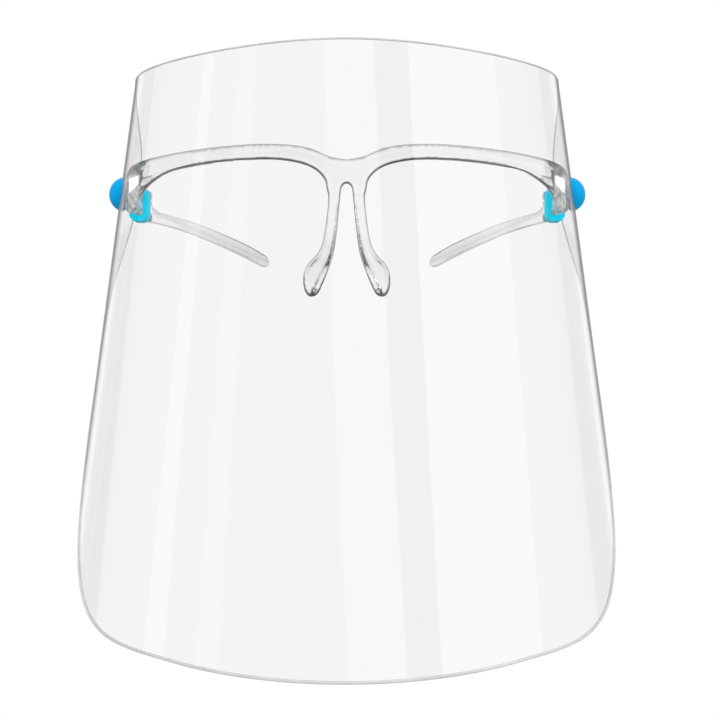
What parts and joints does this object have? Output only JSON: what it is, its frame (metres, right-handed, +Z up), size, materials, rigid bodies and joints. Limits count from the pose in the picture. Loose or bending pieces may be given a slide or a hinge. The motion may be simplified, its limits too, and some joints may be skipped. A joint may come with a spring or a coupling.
{
  "type": "face shield",
  "caption": "Clear wrap-around face shield that flips on a spectacle-style frame with nose legs and folding temple arms.",
  "frame": {"origin": "nose rest: the middle point between the two nose pads, where the bridge of the wearer's nose sits", "axes": "the wearer faces -Y, +Z is up, +X is the wearer's left; the temple arms run back along +Y"},
  "size_m": [0.1798, 0.2364, 0.1959],
  "materials": {
    "clear_frame": "clear injection-moulded plastic, polished",
    "clear_sheet": "clear bent film, glossy",
    "blue_button": "azure, satin gloss",
    "cyan_sleeve": "cyan-blue, satin",
    "screw_steel": "bright"
  },
  "bodies": {
    "frame": {"brow_frame": "clear_frame", "left_sleeve": "cyan_sleeve", "right_sleeve": "cyan_sleeve", "left_hinge_screw": "screw_steel", "right_hinge_screw": "screw_steel"},
    "visor": {"visor": "clear_sheet", "left_button": "blue_button", "right_button": "blue_button"},
    "left_temple": {"left_temple": "clear_frame"},
    "right_temple": {"right_temple": "clear_frame"}
  },
  "joints": [
    {"name": "visor_flip", "type": "hinge", "parent": "frame", "child": "visor", "pos_m": [0, 0.021, 0.0255], "axis": [-1, 0, 0], "range_deg": [-5, 40]},
    {"name": "left_temple_fold", "type": "hinge", "parent": "frame", "child": "left_temple", "pos_m": [0.0726, 0.0289, 0.0218], "axis": [0, 0, 1], "range_deg": [0, 62]},
    {"name": "right_temple_fold", "type": "hinge", "parent": "frame", "child": "right_temple", "pos_m": [-0.0726, 0.0289, 0.0218], "axis": [0, 0, -1], "range_deg": [0, 74]}
  ]
}
